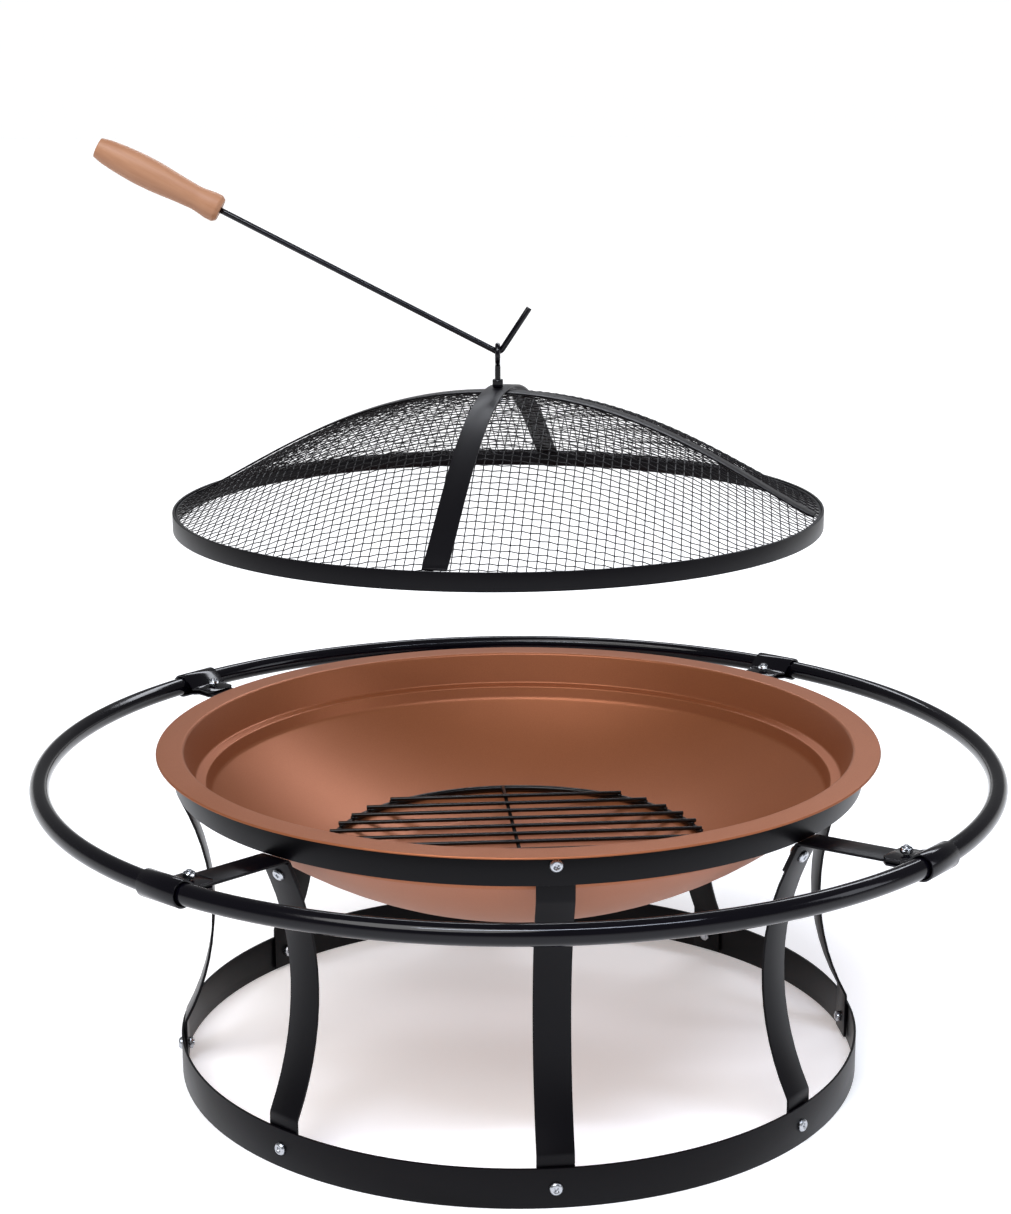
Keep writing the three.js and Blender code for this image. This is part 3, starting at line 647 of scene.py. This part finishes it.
# Chrome is plated over a polished nut, so it mirrors the lights, a little blurred where fingers
# left smears about 4 mm across.
chrome, chrome_shader = new_material("polished_chrome", "#D9DCE0", 0.09, 1.0)
chrome_where = add_node(chrome, "ShaderNodeTexCoord").outputs["Object"]
smears = add_node(chrome, "ShaderNodeTexNoise", {"Scale": repeats(3.85), "Detail": 2},
                  {"Vector": chrome_where})
dulled = add_node(chrome, "ShaderNodeMapRange", {"To Min": 0.05, "To Max": 0.18},
                  {"Value": smears.outputs["Fac"]})
chrome.node_tree.links.new(dulled.outputs["Result"], chrome_shader.inputs["Roughness"])

bolt_radius = 0.438
bolt_low, bolt_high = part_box("clamp_bolt_1")
nut_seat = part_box("cap_nut_1")[0].z
bolt_grip = bolt_high.z - bolt_low.z - head_height
thread_pitch, thread_depth, thread_start = 0.001, 0.0005, 0.011
threads = []
for ring in range(10):
    crest = -bolt_grip + thread_start - ring * thread_pitch
    threads += [[shank_radius, crest], [shank_radius - thread_depth, crest - thread_pitch / 2]]
clamp_bolt = lathe([
    [0, head_height], [0.0042, 0.0033, 0.003], [head_radius, 0.0014, 0.0007], [head_radius, 0],
    [shank_radius, 0], *threads, [shank_radius - thread_depth, -bolt_grip], [0, -bolt_grip]], 32)
combine(clamp_bolt, cross_recess(head_height), "DIFFERENCE")
soften(clamp_bolt, 0.00012, 1, 60)

cap_hex, cap_height, cap_radius = 0.005, 0.013, 0.0047
cap_nut = hex_nut(m6_across_flats, cap_hex)
dome = lathe([[0, cap_height], [cap_radius, cap_height, cap_radius - 0.0001],
              [cap_radius, cap_hex / 2], [0, cap_hex / 2]], 40, 8)
combine(cap_nut, dome, "UNION")
bore_radius, bore_depth = shank_radius + 0.0002, 0.0085
bore = lathe([[0, -0.001], [bore_radius, -0.001], [bore_radius, bore_depth, 0.001],
              [0, bore_depth]], 32)
combine(cap_nut, bore, "DIFFERENCE")
deselect()
cap_nut.select_set(True)
bpy.context.view_layer.objects.active = cap_nut
bpy.ops.object.shade_smooth_by_angle(angle=smooth_below)

for number, angle in enumerate(bracket_angles, 1):
    aside = Matrix.Rotation(math.radians(angle), 4, "Z") @ Matrix.Translation((0, -bolt_radius, 0))
    lowest = Matrix.Translation((0, 0, bolt_low.z + head_height))
    twist = Matrix.Rotation(screw_turns.uniform(0, math.pi), 4, "Z")
    set_copy(clamp_bolt, f"clamp_pan_bolt_{number}", "zinc_screws", zinc_plate,
             aside @ lowest @ Matrix.Rotation(math.pi, 4, "X") @ twist,
             nodes=[f"clamp_bolt_{number}"])
    set_copy(cap_nut, f"chrome_cap_nut_{number}", "chrome_nuts", chrome,
             aside @ Matrix.Translation((0, 0, nut_seat)) @ twist, nodes=[f"cap_nut_{number}"])
for master in (pan_screw, clamp_bolt, cap_nut):
    bpy.data.objects.remove(master)

# ------------------------------------------------------------------ bowl
# Spun from sheet steel: a flat floor, a shallow dish, a narrow step and a flat flange with a
# thin turned-down edge. Sprayed inside and out with copper-coloured metallic heat paint.

# Metallic paint is brown lacquer full of bronze flakes, so it is half metal to the eye: a warm
# satin sheen with lighter specks. The flakes are really about 0.05 mm and are drawn 0.7 mm
# across, coarse enough to show. The sheen drifts over about 140 mm, as the spray gun passed.
copper_paint, copper_shader = new_material("copper_metallic_heat_paint", "#955735", 0.4, 0.5)
where = add_node(copper_paint, "ShaderNodeTexCoord").outputs["Object"]
flake = add_node(copper_paint, "ShaderNodeTexNoise", {"Scale": repeats(0.714), "Detail": 2},
                 {"Vector": where})
flake_tint = add_node(copper_paint, "ShaderNodeMix", links={"Factor": flake.outputs["Fac"]},
                      data_type="RGBA")
flake_tint.inputs["A"].default_value = linear("#84492A")
flake_tint.inputs["B"].default_value = linear("#A6643E")
copper_paint.node_tree.links.new(flake_tint.outputs["Result"], copper_shader.inputs["Base Color"])
mist = add_node(copper_paint, "ShaderNodeTexNoise", {"Scale": repeats(143), "Detail": 5},
                {"Vector": where})
sheen = add_node(copper_paint, "ShaderNodeMapRange", {"To Min": 0.36, "To Max": 0.48},
                 {"Value": mist.outputs["Fac"]})
copper_paint.node_tree.links.new(sheen.outputs["Result"], copper_shader.inputs["Roughness"])
grit = add_node(copper_paint, "ShaderNodeBump", {"Strength": 0.15, "Distance": 0.0001},
                {"Height": flake.outputs["Fac"]})
copper_paint.node_tree.links.new(grit.outputs["Normal"], copper_shader.inputs["Normal"])

bowl_low, bowl_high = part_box("bowl")
bowl_steel = 0.0012
floor_height, flange_height = bowl_low.z + bowl_steel / 2, bowl_high.z - bowl_steel / 2
dish_radius, dish_centre = 0.4664, 0.6356
floor_slope, dish_slope = math.radians(19.0), math.radians(38.8)
mean_slope = (floor_slope + dish_slope) / 2
reach = dish_radius / math.cos((dish_slope - floor_slope) / 2)
dish = [reach * math.sin(mean_slope), dish_centre - reach * math.cos(mean_slope), dish_radius]
floor_edge = dish[0] - (dish[1] - floor_height) / math.tan(floor_slope)
step_foot, step_head, ledge = [0.303, 0.284, 0.010], [0.3072, 0.2963, 0.0013], [0.318, 0.2973, 0.0032]
flange_start, flange_end, lip = 0.3284, 0.3535, [0.3539, flange_height - 0.0012]
bowl = start_line(0, floor_height)
form([[0, floor_height], [floor_edge, floor_height, 0.012], dish, step_foot, step_head, ledge,
      [flange_start, flange_height, 0.0030], [flange_end, flange_height, 0.0006], lip], 2.5)
bpy.ops.mesh.select_all(action="SELECT")
bpy.ops.mesh.spin(steps=240, angle=full_turn, center=(0, 0, 0), axis=(0, 0, 1))
close_up(bowl)
sheet = bowl.modifiers.new("sheet", "SOLIDIFY")
sheet.thickness, sheet.offset = bowl_steel, 0
bpy.ops.object.modifier_apply(modifier=sheet.name)
bpy.ops.object.shade_smooth_by_angle(angle=smooth_turned_below)
hand_over(bowl, "spun_bowl", "bowl", "copper_paint", copper_paint, "bowl")

# ------------------------------------------------------------------ grate
# Thirteen straight wires laid over a hoop of thicker wire, with one cross wire beneath, all spot
# welded and coated black. The ends stick out past the hoop by slightly uneven amounts.

# Stoved enamel is dipped and baked, so it is a hard deep black, half glossy, with small lumps
# about 2.4 mm across.
stoved, stoved_shader = new_material("stoved_black_enamel", "#080504", 0.26)
stoved_shader.inputs["Specular IOR Level"].default_value = 0.25
stoved_where = add_node(stoved, "ShaderNodeTexCoord").outputs["Object"]
coat_noise = add_node(stoved, "ShaderNodeTexNoise", {"Scale": repeats(2.38), "Detail": 3},
                      {"Vector": stoved_where})
coat_bump = add_node(stoved, "ShaderNodeBump", {"Strength": 0.3, "Distance": 0.0002},
                     {"Height": coat_noise.outputs["Fac"]})
stoved.node_tree.links.new(coat_bump.outputs["Normal"], stoved_shader.inputs["Normal"])

grate_radius, hoop_wire, bar_wire = 0.190, 0.00325, 0.0021
hoop_height = 0.21495
least_overhang, most_overhang = 0.0012, 0.0042
weld_radius, weld_shape = 0.0024, (1.2, 1.35, 0.62)
bar_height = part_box("grate_bars")[1].z - bar_wire
bar_pitch = 0.0244
grate_turn = math.radians(5)


def start_wire(wire, radius, height, heading=90, sides=16):
    """A round wire's cut end, in front of the axis and square to a heading: 90 is straight up."""
    deselect()
    bpy.ops.mesh.primitive_circle_add(
        vertices=sides, radius=wire, fill_type="NGON", location=(0, -radius, height))
    bpy.ops.object.mode_set(mode="EDIT")
    bpy.ops.mesh.select_all(action="SELECT")
    tip_over(90 - heading, (0, -radius, height))
    return bpy.context.object


def straight_wire(wire, length, place, turn):
    """A cropped length of wire with its ends dressed, lying level and centred on a place."""
    piece = start_wire(wire, -length / 2, 0, 0)
    form([[-length / 2, 0], [length / 2, 0]])
    close_up(piece)
    soften(piece, wire * 0.3, 2, 50)
    piece.data.transform(Matrix.Translation(place) @ Matrix.Rotation(turn, 4, "Z"))
    return piece


def join_up(pieces):
    """Joins pieces into one mesh and returns it."""
    deselect()
    for piece in pieces:
        piece.select_set(True)
    bpy.context.view_layer.objects.active = pieces[0]
    bpy.ops.object.join()
    return pieces[0]


wire_hoop = start_wire(hoop_wire, grate_radius, hoop_height, 90, 20)
shape = bmesh.from_edit_mesh(wire_hoop.data)
bmesh.ops.rotate(shape, verts=shape.verts, cent=(0, 0, 0),
                 matrix=Matrix.Rotation(math.pi / 2, 3, "Y"))
bmesh.update_edit_mesh(wire_hoop.data)
bpy.ops.mesh.delete(type="ONLY_FACE")
bpy.ops.mesh.select_all(action="SELECT")
bpy.ops.mesh.spin(steps=hoop_steps, angle=full_turn, center=(0, 0, 0), axis=(0, 0, 1))
close_up(wire_hoop)
bpy.ops.object.shade_smooth_by_angle(angle=smooth_turned_below)
crop = random.Random(11)
bars, welds = [], []
for row in range(-6, 7):
    y = row * bar_pitch
    half = math.sqrt(grate_radius ** 2 - y ** 2)
    left, right = (half + crop.uniform(least_overhang, most_overhang) for _ in range(2))
    bars.append(straight_wire(bar_wire, left + right, ((right - left) / 2, y, bar_height),
                              math.pi / 2))
    for x in (-half, half):
        deselect()
        bpy.ops.mesh.primitive_uv_sphere_add(
            segments=14, ring_count=8, radius=weld_radius, location=(x, y, bar_height - bar_wire))
        bead = bpy.context.object
        bead.scale = weld_shape
        bpy.ops.object.transform_apply(location=True, scale=True)
        bpy.ops.object.shade_smooth()
        welds.append(bead)
bars.append(straight_wire(bar_wire, 2 * (grate_radius - hoop_wire),
                          (0, 0, bar_height - 1.7 * bar_wire), 0))
grate_bars = join_up(bars)
wire_hoop = join_up([wire_hoop] + welds)
for piece in (grate_bars, wire_hoop):
    piece.data.transform(Matrix.Rotation(grate_turn, 4, "Z"))
hand_over(wire_hoop, "grate_wire_hoop", "grate", "grate_black", stoved, "grate_hoop")
hand_over(grate_bars, "grate_wires", "grate", "grate_black", stoved, "grate_bars")

# ------------------------------------------------------------------ screen rim
# A strap hoop with a second, thinner hoop pressed inside it to clamp the edge of the mesh. Both
# are painted black together.
screen_centre = Vector((-0.0185, 0.0035, 0))
rim_radius = 0.312
rim_low, rim_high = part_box("screen_rim")
rim_hoop = rolled_hoop(rim_radius, rim_low.z, rim_high.z, strap_steel, screen_centre[:2])
hand_over(rim_hoop, "screen_rim_hoop", "screen", "black_paint", heat_paint, "screen_rim")
clamp_hoop_steel = 0.0022
clamp_hoop_radius = rim_radius - strap_steel - fit_gap
clamp_hoop = rolled_hoop(clamp_hoop_radius, rim_low.z + 0.001, rim_high.z - 0.001,
                         clamp_hoop_steel, screen_centre[:2])
hand_over(clamp_hoop, "mesh_clamping_hoop", "screen", "black_paint", heat_paint)

# ------------------------------------------------------------------ screen mesh
# Plain-woven steel wire in 8 mm squares, pressed to a shallow bell shape and dipped black. Each
# wire passes over and under the ones that cross it.

# Dipped black is a thin coat that drains off the wire, so it is dull, and its sheen changes
# about every 11 mm.
dipped, dipped_shader = new_material("dipped_black_wire", "#070608", 0.42)
dipped_shader.inputs["Specular IOR Level"].default_value = 0.2
dip_where = add_node(dipped, "ShaderNodeTexCoord").outputs["Object"]
dip_noise = add_node(dipped, "ShaderNodeTexNoise", {"Scale": repeats(11.1), "Detail": 3},
                     {"Vector": dip_where})
dip_spread = add_node(dipped, "ShaderNodeMapRange", {"To Min": 0.32, "To Max": 0.52},
                      {"Value": dip_noise.outputs["Fac"]})
dipped.node_tree.links.new(dip_spread.outputs["Result"], dipped_shader.inputs["Roughness"])

dome_radius, dome_edge, dome_rise = 0.3092, 0.5605, 0.1095
crown_flatness, rim_flare = 2.07, 1.24
wire_pitch, mesh_wire = 0.008, 0.0005
mesh_turn = math.radians(-5)


def dome_share(radius):
    """How much of its full rise the dome has at a radius: 1 at the crown, 0 at the edge."""
    return (1 - min(1, radius / dome_radius) ** crown_flatness) ** rim_flare


def woven_wires(across):
    """One set of parallel wires: a grid of points at the crossings, joined one way only."""
    rows = 2 * math.ceil(dome_radius / wire_pitch) + 1
    deselect()
    bpy.ops.mesh.primitive_grid_add(x_subdivisions=rows, y_subdivisions=rows,
                                    size=rows * wire_pitch)
    wires = bpy.context.object
    trapped = 0.0004
    reach = clamp_hoop_radius - clamp_hoop_steel + trapped
    weave = bmesh.new()
    weave.from_mesh(wires.data)
    along, side = (0, 1) if across else (1, 0)
    bmesh.ops.delete(weave, geom=weave.faces[:], context="FACES_ONLY")
    cross_edges = [edge for edge in weave.edges
                   if abs(edge.verts[0].co[along] - edge.verts[1].co[along]) < same_point]
    bmesh.ops.delete(weave, geom=cross_edges, context="EDGES")
    outside = []
    for crossing in weave.verts:
        column, row = (round((crossing.co[i] / wire_pitch) + rows / 2) for i in (0, 1))
        limit = math.sqrt(max(0, reach ** 2 - crossing.co[side] ** 2))
        place = abs(crossing.co[along])
        if limit == 0 or place > limit + wire_pitch * 0.99:
            outside.append(crossing)
            continue
        if place > limit:
            crossing.co[along] = math.copysign(limit, crossing.co[along])
        over = 1 if (column + row) % 2 == across else -1
        height = dome_edge + dome_rise * dome_share(crossing.co.xy.length)
        crossing.co.z = height + over * mesh_wire
    bmesh.ops.delete(weave, geom=outside, context="VERTS")
    weave.to_mesh(wires.data)
    weave.free()
    wires.data.transform(Matrix.Translation(screen_centre) @ Matrix.Rotation(mesh_turn, 4, "Z"))
    bpy.ops.object.convert(target="CURVE")
    wires = bpy.context.object
    wires.data.bevel_depth, wires.data.bevel_resolution = mesh_wire, 1
    bpy.ops.object.convert(target="MESH")
    wires = bpy.context.object
    bpy.ops.object.shade_smooth()
    return wires


hand_over(woven_wires(False), "mesh_wires_front_to_back", "screen", "screen_wire", dipped,
          "screen_mesh")
hand_over(woven_wires(True), "mesh_wires_left_to_right", "screen", "screen_wire", dipped,
          "screen_mesh")

# ------------------------------------------------------------------ screen straps
# Two flat straps bent over the dome at right angles. The one from front to back lies over the
# other at the crown, and both are welded to the rim at their ends.
strap_width, dome_strap_steel = 0.022, 0.002
strap_reach = 0.985
strap_rise = 0.00235
second_rise = dome_strap_steel + 2 * fit_gap


def dome_strap(angle, extra):
    """A strap that follows the dome through the crown; `extra` lifts it over the other one."""
    half, steps = dome_radius * strap_reach, 96
    piece = start_section(strap_width, dome_strap_steel, -half, 0, 0)
    form([[2 * half * step / steps - half, 0] for step in range(steps + 1)])
    close_up(piece)
    for corner in piece.data.vertices:
        share = dome_share(abs(corner.co.y))
        corner.co.z += dome_edge + dome_rise * share + strap_rise + extra * share
    soften(piece, deburred)
    piece.data.transform(
        Matrix.Translation(screen_centre) @ Matrix.Rotation(math.radians(angle), 4, "Z"))
    return piece


lower_strap_angle, upper_strap_angle = 77.5, -9.7
hand_over(dome_strap(lower_strap_angle, 0), "dome_strap_lower", "screen", "black_paint",
          heat_paint, "screen_strap_b")
hand_over(dome_strap(upper_strap_angle, second_rise), "dome_strap_upper", "screen", "black_paint",
          heat_paint, "screen_strap_a")

# ------------------------------------------------------------------ lifting eye
# Round bar threaded at the foot and bent to an open eye. It passes through the crown, held by a
# tall nut above the straps and a thin nut under the mesh.
eye_wire, eye_radius, eye_bend = 0.0025, 0.0085, 0.0035
eye_low, eye_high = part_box("lifting_eye")
eye_centre = eye_high.z - eye_wire - eye_radius
eye_lean = math.acos(eye_bend / (eye_bend + eye_radius))
neck_height = eye_centre - (eye_bend + eye_radius) * math.sin(eye_lean)
eye_turn = math.radians(290)
eye = start_wire(eye_wire, 0, eye_low.z)
form([[0, eye_low.z], [0, neck_height]])
bpy.ops.mesh.spin(steps=8, angle=-eye_lean, center=(0, -eye_bend, neck_height), axis=(1, 0, 0))
bpy.ops.mesh.spin(steps=48, angle=eye_turn, center=(0, 0, eye_centre), axis=(1, 0, 0))
close_up(eye)
soften(eye, 0.0006)
eye.data.transform(Matrix.Translation(screen_centre))
hand_over(eye, "open_eye", "screen", "black_paint", gloss_paint, "lifting_eye")
eye_nut_flats, eye_bore = 0.00995, eye_wire + 0.0002
for name, slot, finish, node in (
        ("tall_eye_nut", "black_paint", gloss_paint, "eye_nut"),
        ("thin_lock_nut", "zinc_screws", zinc_plate, "eye_lock_nut")):
    low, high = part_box(node)
    nut = hex_nut(eye_nut_flats, high.z - low.z)
    bore = lathe([[0, -0.001], [eye_bore, -0.001], [eye_bore, 0.02], [0, 0.02]], 32)
    combine(nut, bore, "DIFFERENCE")
    nut.data.transform(Matrix.Translation(screen_centre + Vector((0, 0, low.z))))
    hand_over(nut, name, "screen", slot, finish, node)

# ------------------------------------------------------------------ poker rod
# Round bar bent near one end to a sharp hook, which hangs in the eye. Painted black.
rod_wire, rod_bend = 0.0028, 0.0057
rod_rise, hook_rise = math.radians(27.3), math.radians(56.5)
rod_length, rod_in_handle, hook_length = 0.289, 0.060, 0.046
half_turn, bisector = (rod_rise + hook_rise) / 2, (hook_rise - rod_rise) / 2
hook_centre = eye_centre + eye_radius
reach = rod_bend / math.cos(half_turn)
tangent = rod_bend * math.tan(half_turn)
elbow = Vector((reach * math.sin(bisector), hook_centre - reach * math.cos(bisector)))
hook_way = Vector((math.cos(hook_rise), math.sin(hook_rise)))
rod_way = Vector((-math.cos(rod_rise), math.sin(rod_rise)))
hook_tip = elbow + hook_way * (tangent + hook_length)
rod_end = elbow + rod_way * (tangent + rod_length + rod_in_handle)
rod = start_wire(rod_wire, *hook_tip, 180 + math.degrees(hook_rise), 24)
form([[*hook_tip], [*elbow, rod_bend], [*rod_end]], 6)
close_up(rod)
soften(rod, 0.0004)
rod.data.transform(Matrix.Translation(screen_centre) @ Matrix.Rotation(math.pi / 2, 4, "Z"))
hand_over(rod, "hooked_rod", "poker", "black_paint", gloss_paint, "poker_rod")

# ------------------------------------------------------------------ poker handle
# A turned beech file handle with a swollen front, a waist and a flat butt, pushed on to the rod.
# The wood is bare, with its grain along the handle.

# Bare beech is turned and sanded, so it is a dull pinkish brown. Its growth figure is about
# 5 mm wide and drawn out along the handle, with darker ray flecks about 1 mm wide.
beech, beech_shader = new_material("bare_turned_beech", "#9B6E50", 0.5)
beech_shader.inputs["Specular IOR Level"].default_value = 0.35
beech_where = add_node(beech, "ShaderNodeTexCoord").outputs["Object"]
along_grain = add_node(beech, "ShaderNodeMapping", {"Rotation": (0, math.pi / 2 - rod_rise, 0)},
                       {"Vector": beech_where})
stretched = add_node(beech, "ShaderNodeMapping", {"Scale": (1, 1, 0.06)},
                     {"Vector": along_grain.outputs["Vector"]})
figure = add_node(beech, "ShaderNodeTexNoise",
                  {"Scale": repeats(5.26), "Detail": 4, "Distortion": 0.3},
                  {"Vector": stretched.outputs["Vector"]})
tone = add_node(beech, "ShaderNodeMix", links={"Factor": figure.outputs["Fac"]}, data_type="RGBA")
tone.inputs["A"].default_value = linear("#8E5F42")
tone.inputs["B"].default_value = linear("#A87C5E")
rays = add_node(beech, "ShaderNodeTexNoise", {"Scale": repeats(1.11), "Detail": 1},
                {"Vector": stretched.outputs["Vector"]})
fleck = add_node(beech, "ShaderNodeMapRange",
                 {"From Min": 0.6, "From Max": 0.72, "To Min": 0, "To Max": 0.35},
                 {"Value": rays.outputs["Fac"]})
fleck_tone = add_node(beech, "ShaderNodeMix", links={
    "Factor": fleck.outputs["Result"], "A": tone.outputs["Result"]}, data_type="RGBA")
fleck_tone.inputs["B"].default_value = linear("#96694C")
beech.node_tree.links.new(fleck_tone.outputs["Result"], beech_shader.inputs["Base Color"])

bore = rod_wire + fit_gap
handle = lathe([
    [0, rod_in_handle + 0.001], [bore, rod_in_handle + 0.001], [bore, 0], [0.0105, 0, 0.001],
    [0.0132, 0.0035, 0.004], [0.0132, 0.010, 0.02], [0.0112, 0.024, 0.04], [0.0122, 0.042, 0.06],
    [0.0142, 0.066, 0.1], [0.0146, 0.084, 0.1], [0.0134, 0.104, 0.08], [0.0118, 0.118, 0.04],
    [0.0095, 0.127, 0.0012], [0, 0.127]], 64, 2)
bpy.ops.object.shade_smooth_by_angle(angle=smooth_turned_below)
start = elbow + rod_way * (tangent + rod_length)
handle.data.transform(
    Matrix.Translation(screen_centre + Vector((start.x, 0, start.y)))
    @ Matrix.Rotation(rod_rise - math.pi / 2, 4, "Y"))
hand_over(handle, "turned_handle", "poker", "handle_wood", beech, "poker_handle")
